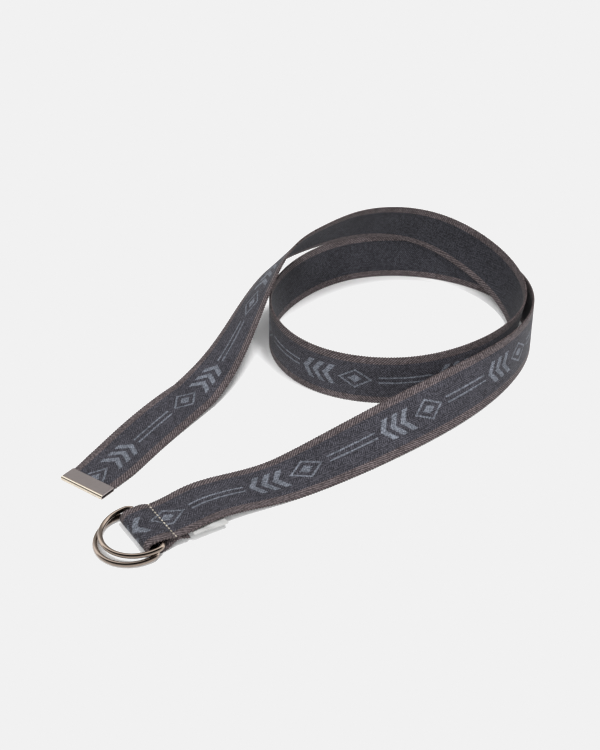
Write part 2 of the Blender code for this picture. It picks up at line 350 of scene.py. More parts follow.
        # The floated bars show on the face only, broken a little by the twill.
        motif = self._motif(tree, along, across)
        on_face = add_node(tree, "ShaderNodeMath", {"operation": "SUBTRACT"},
                           {0: 1.0, 1: on_back}).outputs[0]
        motif = add_node(tree, "ShaderNodeMath", {"operation": "MULTIPLY"},
                         {0: motif, 1: on_face}).outputs[0]
        float_show = add_node(tree, "ShaderNodeMapRange", None,
                              {0: waves[0], 3: self.bar_valley, 4: 1.0}).outputs[0]
        motif_show = add_node(tree, "ShaderNodeMath", {"operation": "MULTIPLY"},
                              {0: motif, 1: float_show}).outputs[0]
        colour = add_node(tree, "ShaderNodeMix", {"data_type": "RGBA"},
                          {0: motif_show, 6: ground, 7: linear(self.bar)}).outputs[2]
        colour = add_node(tree, "ShaderNodeMix", {"data_type": "RGBA"},
                          {0: in_border, 6: colour, 7: border}).outputs[2]
        darkest, lightest = self.yarn_shades
        yarn = add_node(tree, "ShaderNodeMapRange", None,
                        {0: melange, 3: darkest, 4: lightest}).outputs[0]
        patch = add_node(tree, "ShaderNodeMapRange", None,
                         {0: cloud, 1: 0.3, 2: 0.7, 3: 0.9, 4: 1.1}).outputs[0]
        tone = add_node(tree, "ShaderNodeMath", {"operation": "MULTIPLY"}, {0: yarn, 1: patch}).outputs[0]
        # Painted shade: the selvedge is darker, where shade falls between the turns of its weft.
        rim = add_node(tree, "ShaderNodeMapRange", None,
                       {0: off_middle, 1: self.half_width_mm - self.rim_mm[0],
                        2: self.half_width_mm - self.rim_mm[1], 3: 1.0, 4: self.rim_shade})
        tone = add_node(tree, "ShaderNodeMath", {"operation": "MULTIPLY"},
                        {0: tone, 1: rim.outputs[0]}).outputs[0]
        colour = add_node(tree, "ShaderNodeVectorMath", {"operation": "SCALE"},
                          {0: colour, "Scale": tone}).outputs[0]
        tree.links.new(colour, shader.inputs["Base Color"])
        # Twill ridges, uneven yarns and the raised bars, a tenth of a millimetre high.
        relief = add_node(tree, "ShaderNodeMix", {"data_type": "FLOAT"},
                          {0: in_border, 2: waves[0], 3: waves[1]}).outputs[0]
        relief = add_node(tree, "ShaderNodeMath", {"operation": "MULTIPLY_ADD"},
                          {0: melange, 1: 0.35, 2: relief}).outputs[0]
        relief = add_node(tree, "ShaderNodeMath", {"operation": "MULTIPLY_ADD"},
                          {0: motif, 1: 0.9, 2: relief}).outputs[0]
        bump = add_node(tree, "ShaderNodeBump", None,
                        {"Strength": 0.55, "Distance": 0.00012, "Height": relief})
        tree.links.new(bump.outputs[0], shader.inputs["Normal"])
        shader.inputs["Roughness"].default_value = 0.78
        shader.inputs["Specular IOR Level"].default_value = 0.15
        shader.inputs["Sheen Weight"].default_value = 0.05
        shader.inputs["Sheen Roughness"].default_value = 0.45
        return material


@dataclass(frozen=True)
class GunmetalFinish:
    """Polished steel with a dark nickel plating: warm, dark and mirror-like.

    Haze 4.5 mm and waviness 6 mm from crest to crest soften what it mirrors.
    """

    name: str
    tint: str
    roughness: float

    def build(self) -> bpy.types.Material:
        """Make the plating's material.

        Returns:
            The material.
        """
        material = bpy.data.materials.new(self.name)
        material.use_nodes = True
        tree = material.node_tree
        shader = tree.nodes["Principled BSDF"]
        place = add_node(tree, "ShaderNodeTexCoord").outputs["Object"]
        haze = add_node(tree, "ShaderNodeTexNoise", None,
                        {"Vector": place, "Scale": 220.0, "Detail": 3.0})
        rough = add_node(tree, "ShaderNodeMapRange", None,
                         {0: haze.outputs[0], 1: 0.3, 2: 0.7,
                          3: self.roughness * 0.8, 4: self.roughness * 1.3})
        tree.links.new(rough.outputs[0], shader.inputs["Roughness"])
        waviness = add_node(tree, "ShaderNodeTexNoise", None,
                            {"Vector": place, "Scale": 160.0, "Detail": 1.0})
        bump = add_node(tree, "ShaderNodeBump", None,
                        {"Strength": 0.25, "Distance": 0.00006, "Height": waviness.outputs[0]})
        tree.links.new(bump.outputs[0], shader.inputs["Normal"])
        shader.inputs["Base Color"].default_value = linear(self.tint)
        shader.inputs["Metallic"].default_value = 1.0
        return material


@dataclass(frozen=True)
class SatinPlateFinish:
    """Stamped steel plate, finely brushed along its width and plated warm grey: a broad satin sheen."""

    tint: str = "#a69d9b"
    roughness: float = 0.3
    brush_mm: float = 0.12
    brush_turn_deg: float = 30.0
    brush_stretch: float = 25.0

    def build(self) -> bpy.types.Material:
        """Make the plate's material.

        Returns:
            The material.
        """
        material = bpy.data.materials.new("brushed_plated_steel")
        material.use_nodes = True
        tree = material.node_tree
        shader = tree.nodes["Principled BSDF"]
        place = add_node(tree, "ShaderNodeTexCoord").outputs["Object"]
        turned = add_node(tree, "ShaderNodeMapping", None,
                          {"Vector": place, "Rotation": (0.0, 0.0, math.radians(self.brush_turn_deg)),
                           "Scale": (1.0 / self.brush_stretch, 1.0, 1.0)})
        grain = add_node(tree, "ShaderNodeTexNoise", None,
                         {"Vector": turned.outputs[0], "Scale": 1.0 / (self.brush_mm * MM), "Detail": 2.0})
        tone = add_node(tree, "ShaderNodeMapRange", None,
                        {0: grain.outputs[0], 1: 0.3, 2: 0.7, 3: 0.88, 4: 1.1})
        colour = add_node(tree, "ShaderNodeVectorMath", {"operation": "SCALE"},
                          {0: linear(self.tint)[:3], "Scale": tone.outputs[0]})
        tree.links.new(colour.outputs[0], shader.inputs["Base Color"])
        bump = add_node(tree, "ShaderNodeBump", None,
                        {"Strength": 0.2, "Distance": 0.00003, "Height": grain.outputs[0]})
        tree.links.new(bump.outputs[0], shader.inputs["Normal"])
        shader.inputs["Metallic"].default_value = 1.0
        shader.inputs["Roughness"].default_value = self.roughness
        return material


@dataclass(frozen=True)
class ThreadFinish:
    """Spun polyester thread: matte, a little lighter and darker along its length."""

    name: str
    light: str
    dark: str

    def build(self) -> bpy.types.Material:
        """Make the thread's material.

        Returns:
            The material.
        """
        material = bpy.data.materials.new(self.name)
        material.use_nodes = True
        tree = material.node_tree
        shader = tree.nodes["Principled BSDF"]
        place = add_node(tree, "ShaderNodeTexCoord").outputs["Object"]
        mottle = add_node(tree, "ShaderNodeTexNoise", None,
                          {"Vector": place, "Scale": 900.0, "Detail": 2.0})
        share = add_node(tree, "ShaderNodeMapRange", None, {0: mottle.outputs[0], 1: 0.35, 2: 0.65})
        colour = add_node(tree, "ShaderNodeMix", {"data_type": "RGBA"},
                          {0: share.outputs[0], 6: linear(self.dark), 7: linear(self.light)})
        tree.links.new(colour.outputs[2], shader.inputs["Base Color"])
        shader.inputs["Roughness"].default_value = 0.7
        shader.inputs["Specular IOR Level"].default_value = 0.3
        return material


@dataclass(frozen=True)
class SatinLabelFinish:
    """Woven white satin tape: soft gloss with fine ribs 0.5 mm apart, and painted shade that greys the
    valleys between them.
    """

    white: str = "#c6c6c4"
    # colour of the painted shade in the valleys between the ribs
    grey: str = "#9d9e9d"
    rib_mm: float = 0.5

    def build(self) -> bpy.types.Material:
        """Make the label's material, which reads its own UV map.

        Returns:
            The material.
        """
        material = bpy.data.materials.new("woven_white_satin")
        material.use_nodes = True
        tree = material.node_tree
        shader = tree.nodes["Principled BSDF"]
        uv = add_node(tree, "ShaderNodeUVMap", {"uv_map": "label"})
        axes = add_node(tree, "ShaderNodeSeparateXYZ", None, {0: uv.outputs[0]})
        turn = add_node(tree, "ShaderNodeMath", {"operation": "MULTIPLY"},
                        {0: axes.outputs[0], 1: 2 * math.pi / (self.rib_mm * MM)})
        rib = add_node(tree, "ShaderNodeMath", {"operation": "SINE"}, {0: turn.outputs[0]})
        # Painted shade: the tape is mixed towards grey in the valleys between its ribs.
        share = add_node(tree, "ShaderNodeMapRange", None,
                         {0: rib.outputs[0], 1: -1.0, 2: 1.0, 3: 0.35, 4: 1.0})
        colour = add_node(tree, "ShaderNodeMix", {"data_type": "RGBA"},
                          {0: share.outputs[0], 6: linear(self.grey), 7: linear(self.white)})
        tree.links.new(colour.outputs[2], shader.inputs["Base Color"])
        bump = add_node(tree, "ShaderNodeBump", None,
                        {"Strength": 0.3, "Distance": 0.00005, "Height": rib.outputs[0]})
        tree.links.new(bump.outputs[0], shader.inputs["Normal"])
        shader.inputs["Roughness"].default_value = 0.42
        return material


@dataclass
class Ribbon:
    """The strap as sections along its length.

    Attributes:
        arc: Distance from the strap's tip.
        centre: Middle of each section.
        across: Direction of the strap's width.
        face: Direction that its patterned face looks in.
        width: Width of each section.
        thickness: Thickness of each section.
    """

    arc: np.ndarray
    centre: np.ndarray
    across: np.ndarray
    face: np.ndarray
    width: np.ndarray
    thickness: np.ndarray

    def read(self, arc: float) -> tuple[np.ndarray, np.ndarray, np.ndarray, float, float]:
        """Read the strap's section at a distance from the tip.

        Args:
            arc: Distance from the tip.

        Returns:
            The section's middle, width direction, face direction, width and thickness.
        """
        columns = np.c_[self.centre, self.across, self.face, self.width, self.thickness]
        row = np.array([np.interp(arc, self.arc, column) for column in columns.T])
        return row[:3], unit(row[3:6]), unit(row[6:9]), float(row[9]), float(row[10])


@dataclass
class WebbingStrap:
    """The strap from the tip clip, round the coil, to the ring pocket and its tail.

    Attributes:
        width: Width of the webbing.
        thickness: Thickness of the webbing.
        step: Distance between sections.
        fold_width: Width at the pocket's fold, where the rings pinch it.
        fold_from_stitch: Distance of the fold's middle from the stitch line.
        top_height: Height of the pocket's top.
        clip_length: Length of strap that the clip covers.
        clip_width: Width of the clip and of the strap's end.
        narrows_over: Length past the clip over which the strap narrows to it.
        pinched: Thickness inside the clip.
        pinch_over: Length past the clip over which it regains its thickness.
        inside_clip: Gap between the clip's bend and the strap's end.
        selvedge: Edge strip on each side that the weft's turns fill.
        groove: Depth that the stitches pull the cloth down by.
        groove_reach: Distance from the stitch line at which the groove fades.
        tail_droop: How far the tail's near edge sags.
        end_shade: Place across the strap whose colour the cut ends take: the border.
        face_points: Points across one face of a section.
        rise_points: Points from the stitch line to the fold.
        fold_points: Points round the fold.
        back_points: Points from the fold to the tail's end.
        stations: Sections that the strap's path runs through.
        rise: Spots on the pocket's upper side.
        back: Spots on its lower side and along the tail.
        ribbon: The strap's sections.
        foot: Point on the table under the stitch line.
        outward: Direction out of the stitch line, towards the rings.
        sideways: Direction along the stitch line.
        stitch_arc: Distance of the stitch line from the tip.
    """

    width: float = 30.0 * MM
    thickness: float = 1.2 * MM
    step: float = 1.1 * MM
    fold_width: float = 29.4 * MM
    fold_from_stitch: float = 11.3 * MM
    top_height: float = 7.3 * MM
    clip_length: float = 9.0 * MM
    clip_width: float = 28.0 * MM
    narrows_over: float = 14.0 * MM
    pinched: float = 0.8 * MM
    pinch_over: float = 2.0 * MM
    inside_clip: float = 1.2 * MM
    selvedge: float = 0.3 * MM
    groove: float = 0.5 * MM
    groove_reach: float = 0.9 * MM
    tail_droop: float = 1.6 * MM
    end_shade: float = 12.0 * MM
    face_points: int = 15
    rise_points: int = 26
    fold_points: int = 23
    back_points: int = 30
    # section, x mm, y mm, lean deg, lift of the lowest edge mm
    stations: tuple = (
        ("tip in the clip", -108.7, -107.9, 0.0, 0.5),
        ("clip mouth", -103.7, -100.8, 0.0, 0.5),
        ("tip strand", -85.0, -67.0, -3.5, 0.0),
        ("tip strand lifts", -56.0, -21.0, 2.0, 3.5),
        ("twist begins", -43.0, 1.0, 17.0, 8.0),
        ("quarter twist", -32.0, 22.0, 31.0, 17.0),
        ("twist beside turn 2", -8.0, 65.5, 47.5, 33.5),
        ("over turn 2", 10.8, 84.1, 52.5, 35.2),
        ("crest", 31.7, 100.2, 58.0, 34.5),
        ("down inside turn 2", 80.0, 115.5, 72.0, 24.5),
        ("down at the shoulder", 104.0, 108.0, 90.0, 15.0),
        ("turn 1 right back", 122.0, 90.5, 102.5, 7.0),
        ("turn 1 right", 130.0, 37.0, 100.0, 0.0),
        ("turn 1 right front", 103.0, -8.0, 88.0, 0.0),
        ("turn 1 front", 55.5, -29.5, 91.0, 0.0),
        ("turn 1 left front", 6.0, -15.0, 90.0, 0.0),
        ("turn 2 left", -17.5, 32.0, 89.0, 0.0),
        ("turn 2 left back", -5.0, 83.5, 93.0, 0.0),
        ("turn 2 back", 33.5, 120.0, 94.0, 0.0),
        ("turn 2 right back", 86.5, 121.0, 91.0, 0.0),
        ("turn 2 shoulder", 128.0, 88.5, 90.0, 0.0),
        ("turn 2 right", 137.5, 36.5, 89.5, 0.0),
        ("turn 2 right front", 113.5, -13.5, 78.0, 0.5),
        ("ring strand leans", 74.0, -49.5, 51.0, 0.5),
        ("ring strand falls", 30.0, -80.0, 27.0, 0.0),
        ("ring strand flat", -16.0, -107.0, 5.5, 0.8),
        ("ring strand rises", -33.5, -116.0, 3.0, 3.0),
        ("ring strand arches", -48.0, -125.5, 2.5, 4.6),
        ("before the stitches", -56.5, -133.0, 0.5, 5.3),
        ("stitch line", -65.0, -139.0, 0.0, 5.15),
    )
    # spot, out of the stitch line mm, height mm
    rise: tuple = (
        ("over the stitches", 1.3, 6.35),
        ("beside the upper bar", 4.0, 7.25),
        ("on the upper bar", 7.0, 7.42),
    )
    back: tuple = (
        ("under the lower bar", 8.0, 0.6),
        ("rising to the stitches", 3.5, 2.2),
        ("under the stitches", 0.0, 4.5),
        ("tail end", -7.0, 4.2),
    )
    ribbon: Ribbon = field(init=False)
    foot: np.ndarray = field(init=False)
    outward: np.ndarray = field(init=False)
    sideways: np.ndarray = field(init=False)
    stitch_arc: float = field(init=False)

    def __post_init__(self) -> None:
        """Lay out the whole strap."""
        centre, across, face, arc = self._run()
        self._set_pocket_frame(centre, across)
        self.stitch_arc = float(arc[-1])
        profile = self._pocket_profile(centre[-1][2])
        pocket, pocket_across, pocket_face = self.sections(profile, self.foot)
        # Past the stitch line, the tail's near edge sags towards its end.
        tail = -self.back[-1][1] * MM
        hang = (self.tail_droop * np.clip(-profile[:, 0] / tail, 0.0, 1.0))[:, None]
        pocket = pocket - 0.5 * hang * UP
        pocket_across = unit(pocket_across + hang / self.width * UP)
        pocket_face = unit(np.cross(pocket_across, np.cross(pocket_face, pocket_across)))
        pocket_arc = arc[-1] + chord_knots(np.r_[centre[-1:], pocket])[1:]
        # The pocket narrows smoothly from the stitch line to its fold.
        share = np.clip(profile[:, 0] / self.fold_from_stitch, 0.0, 1.0)
        share = share * share * (3.0 - 2.0 * share)
        keep = arc >= self.inside_clip
        pinch = np.interp(arc[keep], (self.clip_length, self.clip_length + self.pinch_over),
                          (self.pinched, self.thickness))
        self.ribbon = Ribbon(
            np.r_[arc[keep], pocket_arc], np.r_[centre[keep], pocket],
            np.r_[across[keep], pocket_across], np.r_[face[keep], pocket_face],
            np.r_[np.interp(arc[keep], (self.clip_length, self.clip_length + self.narrows_over),
                            (self.clip_width, self.width)),
                  self.width + share * (self.fold_width - self.width)],
            np.r_[pinch, np.full(len(profile), self.thickness)])

    def _run(self) -> tuple[np.ndarray, np.ndarray, np.ndarray, np.ndarray]:
        """Sections from the tip to the stitch line.

        Returns:
            Centres, across directions, face directions and arc lengths.
        """
        table = np.array([row[1:] for row in self.stations])
        knots = chord_knots(table[:, :2] * MM)
        spots = np.linspace(0.0, knots[-1], int(knots[-1] / self.step) + 1)
        x, y, lean, lift = natural_spline(knots, table, spots).T
        lean = np.radians(lean)
        height = (np.maximum(lift, 0.0) * MM + 0.5 * self.width * np.abs(np.sin(lean))
                  + 0.5 * self.thickness * np.abs(np.cos(lean)))
        centre = np.c_[x * MM, y * MM, height] - TABLE_ORIGIN
        along = unit(np.gradient(centre, spots, axis=0))
        side = unit(np.cross(along, UP))
        rise = np.cross(side, along)
        across = np.cos(lean)[:, None] * side + np.sin(lean)[:, None] * rise
        return centre, across, np.cross(across, along), chord_knots(centre)

    def _set_pocket_frame(self, centre: np.ndarray, across: np.ndarray) -> None:
        """Find the table point under the stitch line and the pocket's directions.

        Args:
            centre: Section centres up to the stitch line.
            across: Width directions up to the stitch line.
        """
        self.foot = centre[-1] * (1.0, 1.0, 0.0) - TABLE_ORIGIN * UP
        self.sideways = unit(across[-1] * (1.0, 1.0, 0.0))
        outward = np.array((-self.sideways[1], self.sideways[0], 0.0))
        self.outward = outward if np.dot(outward, centre[-1] - centre[-2]) > 0 else -outward

    def _pocket_profile(self, start: float) -> np.ndarray:
        """Middle line of the pocket, seen from its side.

        Args:
            start: Height of the strap's middle at the stitch line.

        Returns:
            Rows of distance out of the stitch line and height over the table.
        """
        rise = np.array([(0.0, (start + TABLE_ORIGIN[2]) / MM)] + [row[1:] for row in self.rise]) * MM
        radius = 0.5 * (self.top_height - 0.5 * self.thickness)
        middle = self.top_height - radius
        turn = np.linspace(math.pi / 2, -math.pi / 2, self.fold_points)
        fold = np.c_[self.fold_from_stitch + radius * np.cos(turn), middle + radius * np.sin(turn)]
        back = np.array([row[1:] for row in self.back]) * MM
        pieces = []
        for line, count in ((np.r_[rise, fold[:1]], self.rise_points),
                            (np.r_[fold[-1:], back], self.back_points)):
            knots = chord_knots(line)
            pieces.append(natural_spline(knots, line, np.linspace(0.0, knots[-1], count)))
        return np.r_[pieces[0][1:], fold[1:-1], pieces[1]]

    def sections(self, profile: np.ndarray, foot: np.ndarray) -> tuple[np.ndarray, np.ndarray, np.ndarray]:
        """Turn a side profile into sections that share the pocket's width direction.

        Args:
            profile: Rows of distance out and height.
            foot: Point on the table that distances start from.

        Returns:
            Centres, across directions and face directions.
        """
        centre = foot + profile[:, :1] * self.outward + profile[:, 1:] * UP
        along = unit(np.gradient(centre, axis=0))
        across = np.repeat(self.sideways[None, :], len(profile), axis=0)
        return centre, across, unit(np.cross(across, along))

    def _outline(self, half: float, t: float, dip: float) -> list[tuple[float, float, float]]:
        """Outline of a section: a flat bar with round edges.

        Args:
            half: Half the section's width.
            t: Half its thickness.
            dip: How far the stitches pull the face down.

        Returns:
            Rows of place across, height and distance across along the surface,
            over the face from its left edge and back under it.
        """
        flat = half - t
        outline = []
        for side, sink in ((1.0, dip), (-1.0, 0.0)):
            for s in np.linspace(-1.0, 1.0, self.face_points):
                outline.append((side * flat * s, side * (t - sink * (1 - s ** 8)), side * flat * s))
            for turn in np.radians((60.0, 30.0, 0.0, -30.0, -60.0)):
                reach = flat + t * (math.pi / 2 - abs(turn))
                outline.append((side * (flat + t * math.cos(turn)), side * t * math.sin(turn),
                                side * reach))
        return outline

    def build(self, finish: bpy.types.Material) -> bpy.types.Object:
        """Skin the sections.

        Args:
            finish: Webbing material.

        Returns:
            The strap.
        """
        ribbon = self.ribbon
        bm = bmesh.new()
        uv_layer = bm.loops.layers.uv.new("strap")
        rows, marks = [], []
        for i, arc in enumerate(ribbon.arc):
            dip = self.groove * math.exp(-((arc - self.stitch_arc) / self.groove_reach) ** 2)
            outline = self._outline(0.5 * ribbon.width[i] - self.selvedge, 0.5 * ribbon.thickness[i], dip)
            scale = self.width / ribbon.width[i]
            rows.append([bm.verts.new(ribbon.centre[i] + p * ribbon.across[i] + q * ribbon.face[i])
                         for p, q, _ in outline])
            marks.append([w * scale for _, _, w in outline])
        count = len(rows[0])
        on_face = set(range(self.face_points + 2)) | set(range(count - 3, count))
        for i in range(len(rows) - 1):
            for j in range(count):
                k = (j + 1) % count
                quad = bm.faces.new((rows[i][j], rows[i][k], rows[i + 1][k], rows[i + 1][j]))
                shift = 0.0 if j in on_face else BACK_MARK
                for loop, (row, col) in zip(quad.loops, ((i, j), (i, k), (i + 1, k), (i + 1, j))):
                    loop[uv_layer].uv = (ribbon.arc[row], marks[row][col] + shift)
        for arc, corners in ((ribbon.arc[0], rows[0][::-1]), (ribbon.arc[-1], rows[-1])):
            for loop in bm.faces.new(corners).loops:
                loop[uv_layer].uv = (arc, BACK_MARK + self.end_shade)
        bmesh.ops.triangulate(bm, faces=[f for f in bm.faces if len(f.verts) > 4])
        return mesh_object("strap_webbing", bm, finish)


@dataclass
class ThreadRow:
    """Threads laid on points by Geometry Nodes: stitches or selvedge turns.

    Attributes:
        name: Piece name.
        length: Length of one thread along its lie.
        breadth: Its size across its lie.
        height: Its size out of the surface.
    """

    name: str
    length: float
    breadth: float
    height: float

    def _tree(self) -> bpy.types.GeometryNodeTree:
        """Build the node tree that puts one rounded thread on each point.

        Returns:
            The tree.
        """
        tree = bpy.data.node_groups.new(f"{self.name}_threads", "GeometryNodeTree")
        face = tree.interface
        face.new_socket("Geometry", in_out="INPUT", socket_type="NodeSocketGeometry")
        face.new_socket("Thread size", in_out="INPUT", socket_type="NodeSocketVector")
        face.new_socket("Thread finish", in_out="INPUT", socket_type="NodeSocketMaterial")
        face.new_socket("Geometry", in_out="OUTPUT", socket_type="NodeSocketGeometry")
        given = add_node(tree, "NodeGroupInput").outputs
        ball = add_node(tree, "GeometryNodeMeshUVSphere", None, {"Segments": 8, "Rings": 5, "Radius": 0.5})
        thread = add_node(tree, "GeometryNodeTransform", None,
                          {"Geometry": ball.outputs["Mesh"], "Scale": given["Thread size"]})
        lie, out = (add_node(tree, "GeometryNodeInputNamedAttribute", {"data_type": "FLOAT_VECTOR"},
                             {"Name": key}).outputs[0] for key in ("lie", "out"))
        turn = add_node(tree, "FunctionNodeAlignRotationToVector", {"axis": "X"}, {"Vector": lie})
        turn = add_node(tree, "FunctionNodeAlignRotationToVector", {"axis": "Z", "pivot_axis": "X"},
                        {"Rotation": turn.outputs[0], "Vector": out})
        laid = add_node(tree, "GeometryNodeInstanceOnPoints", None,
                        {"Points": given["Geometry"], "Instance": thread.outputs[0],
                         "Rotation": turn.outputs[0]})
        real = add_node(tree, "GeometryNodeRealizeInstances", None, {"Geometry": laid.outputs[0]})
        smooth = add_node(tree, "GeometryNodeSetShadeSmooth", None, {"Geometry": real.outputs[0]})
        dressed = add_node(tree, "GeometryNodeSetMaterial", None,
                           {"Geometry": smooth.outputs[0], "Material": given["Thread finish"]})
        add_node(tree, "NodeGroupOutput", None, {0: dressed.outputs[0]})
        return tree

    def build(self, points: np.ndarray, lie: np.ndarray, out: np.ndarray,
              finish: bpy.types.Material) -> bpy.types.Object:
        """Lay the threads and bake them to one mesh.

        Args:
            points: Middle of each thread.
            lie: Direction that each thread runs in.
            out: Direction that each thread rises in.
            finish: Thread material.

        Returns:
            The row of threads.
        """
        mesh = bpy.data.meshes.new(f"{self.name}_points")
        mesh.from_pydata([tuple(p) for p in points], [], [])
        for key, rows in (("lie", lie), ("out", out)):
            attribute = mesh.attributes.new(key, "FLOAT_VECTOR", "POINT")
            attribute.data.foreach_set("vector", rows.astype(np.float32).ravel())
        values = {"Thread size": (self.length, self.breadth, self.height), "Thread finish": finish}
        baked = grow(self.name, mesh, self._tree(), values)
        for attribute in ("lie", "out"):
            if attribute in baked.attributes:
                baked.attributes.remove(baked.attributes[attribute])
        piece = bpy.data.objects.new(self.name, baked)
        bpy.context.scene.collection.objects.link(piece)
        return piece


@dataclass
class Selvedges:
    """The weft's turns along both edges of the strap.

    Attributes:
        strap: The strap.
        pitch: Distance between turns, three times a real pick so that they show.
        rise: Size of a turn out of the edge.
        length: Length of a turn over the edge.
        breadth: Size of a turn along the edge.
        slant: How far a turn leans along the strap, as a share of its length.
        clip_margin: Distance from the clip to the first turn.
        end_margin: Distance from the last turn to the tail's end.
    """

    strap: WebbingStrap
    pitch: float = 1.6 * MM
    rise: float = 1.0 * MM
    length: float = 1.35 * MM
    breadth: float = 1.2 * MM
    slant: float = 0.35
    clip_margin: float = 1.5 * MM
    end_margin: float = 0.5 * MM

    def build(self, finish: bpy.types.Material) -> bpy.types.Object:
        """Lay a turn of thread at every pick, on both edges.

        Args:
            finish: Weft thread.

        Returns:
            The turns.
        """
        ribbon = self.strap.ribbon
        arcs = np.arange(self.strap.clip_length + self.clip_margin,
                         ribbon.arc[-1] - self.end_margin, self.pitch)
        points, lie, out = [], [], []
        for side in (-1.0, 1.0):
            for arc in arcs:
                centre, across, face, width, _ = ribbon.read(arc)
                points.append(centre + side * across * 0.5 * (width - self.rise))
                lie.append(unit(face + self.slant * side * np.cross(face, across)))
                out.append(side * across)
        row = ThreadRow("selvedge_turns", self.length, self.breadth, self.rise)
        return row.build(np.array(points), np.array(lie), np.array(out), finish)


@dataclass
class StitchRow:
    """A row of lockstitches across the strap, behind the rings.

    Attributes:
        strap: The strap.
        count: Number of stitches.
        reach: Share of the width that the row's ends reach.
        cover: Share of the pitch that one stitch covers.
        breadth: Width of the thread.
        height: Thickness of the thread.
        slant: How far a stitch leans, as a share of its length.
        lift: Height of a stitch's middle over the groove's bottom.
    """

    strap: WebbingStrap
    count: int = 13
    reach: float = 0.93
    cover: float = 0.66
    breadth: float = 0.8 * MM
    height: float = 0.55 * MM
    slant: float = 0.16
    lift: float = 0.22 * MM

    def build(self, finish: bpy.types.Material) -> bpy.types.Object:
        """Lay the stitches in the groove across the strap.

        Args:
            finish: Sewing thread.

        Returns:
            The stitches.
        """
        centre, across, face, width, thickness = self.strap.ribbon.read(self.strap.stitch_arc)
        shares = np.linspace(-self.reach, self.reach, self.count)
        height = 0.5 * thickness + self.lift - self.strap.groove * (1 - np.abs(shares) ** 8)
        points = centre + 0.5 * width * shares[:, None] * across + height[:, None] * face
        lie = np.tile(unit(across + self.slant * np.cross(face, across)), (self.count, 1))
        out = np.tile(face, (self.count, 1))
        pitch = 0.5 * self.strap.width * 2 * self.reach / (self.count - 1)
        thread = ThreadRow("stitch_row", self.cover * pitch, self.breadth, self.height)
        return thread.build(points, lie, out, finish)


@dataclass
class DRing:
    """A closed D of round wire whose straight bar lies in the strap's pocket.

    Attributes:
        name: Piece name.
        strap: The strap.
        out: Distance of the arc's centre out of the stitch line.
        aside: Its distance from the strap's middle.
        bar_height: Height of the bar's middle.
        fall: How much the ring falls for each metre outwards from its bar.
        wire: Diameter of the wire.
        inner_width: Width inside the ring.
        bar_behind: Distance of the bar behind the arc's centre.
        corner: Radius of the bends between the arc and the bar.
        arc_points: Points along the arc.
        corner_points: Points along each bend.
        sides: Sides of the swept wire.
    """

    name: str
    strap: WebbingStrap
    out: float
    aside: float
    bar_height: float
    fall: float
    wire: float = 2.5 * MM
    inner_width: float = 33.0 * MM
    bar_behind: float = 5.0 * MM
    corner: float = 4.0 * MM
    arc_points: int = 97
    corner_points: int = 17
    sides: int = 28

    def _plan(self) -> np.ndarray:
        """Lay out the middle line of the D.

        Returns:
            Rows of distance out from the arc's centre and distance sideways.
        """
        radius = 0.5 * (self.inner_width + self.wire)
        points = [(radius * math.cos(t), radius * math.sin(t))
                  for t in np.linspace(-math.pi / 2, math.pi / 2, self.arc_points)]
        for sign, first in ((1, 90.0), (-1, 180.0)):
            for t in np.radians(np.linspace(first, first + 90.0, self.corner_points)):
                points.append((-self.bar_behind + self.corner + self.corner * math.cos(t),
                               sign * (radius - self.corner) + self.corner * math.sin(t)))
        return np.array(points)

    def _tree(self) -> bpy.types.GeometryNodeTree:
        """Build the node tree that sweeps round wire along a closed path.

        Returns:
            The tree.
        """
        tree = bpy.data.node_groups.new(f"{self.name}_sweep", "GeometryNodeTree")
        face = tree.interface
        face.new_socket("Geometry", in_out="INPUT", socket_type="NodeSocketGeometry")
        face.new_socket("Wire radius", in_out="INPUT", socket_type="NodeSocketFloat")
        face.new_socket("Wire sides", in_out="INPUT", socket_type="NodeSocketInt")
        face.new_socket("Ring finish", in_out="INPUT", socket_type="NodeSocketMaterial")
        face.new_socket("Geometry", in_out="OUTPUT", socket_type="NodeSocketGeometry")
        given = add_node(tree, "NodeGroupInput").outputs
        path = add_node(tree, "GeometryNodeMeshToCurve", None, {"Mesh": given["Geometry"]})
        wire = add_node(tree, "GeometryNodeCurvePrimitiveCircle", None,
                        {"Resolution": given["Wire sides"], "Radius": given["Wire radius"]})
        swept = add_node(tree, "GeometryNodeCurveToMesh", None,
                         {"Curve": path.outputs[0], "Profile Curve": wire.outputs[0]})
        real = add_node(tree, "GeometryNodeRealizeInstances", None, {"Geometry": swept.outputs[0]})
        dressed = add_node(tree, "GeometryNodeSetMaterial", None,
                           {"Geometry": real.outputs[0], "Material": given["Ring finish"]})
        add_node(tree, "NodeGroupOutput", None, {0: dressed.outputs[0]})
        return tree

    def build(self, finish: bpy.types.Material) -> bpy.types.Object:
        """Sweep the wire round the D.

        Args:
            finish: The wire's material.

        Returns:
            The ring.
        """
        plan, strap = self._plan(), self.strap
        height = self.bar_height - self.fall * (plan[:, 0] + self.bar_behind)
        centre = (strap.foot + (self.out + plan[:, :1]) * strap.outward
                  + (self.aside + plan[:, 1:]) * strap.sideways + height[:, None] * UP)
        path = bpy.data.meshes.new(f"{self.name}_path")
        count = len(centre)
        path.from_pydata([tuple(c) for c in centre], [(i, (i + 1) % count) for i in range(count)], [])
        values = {"Wire radius": 0.5 * self.wire, "Wire sides": self.sides, "Ring finish": finish}
        bm = bmesh.new()
        bm.from_mesh(grow(self.name, path, self._tree(), values))
        return mesh_object(self.name, bm, finish)


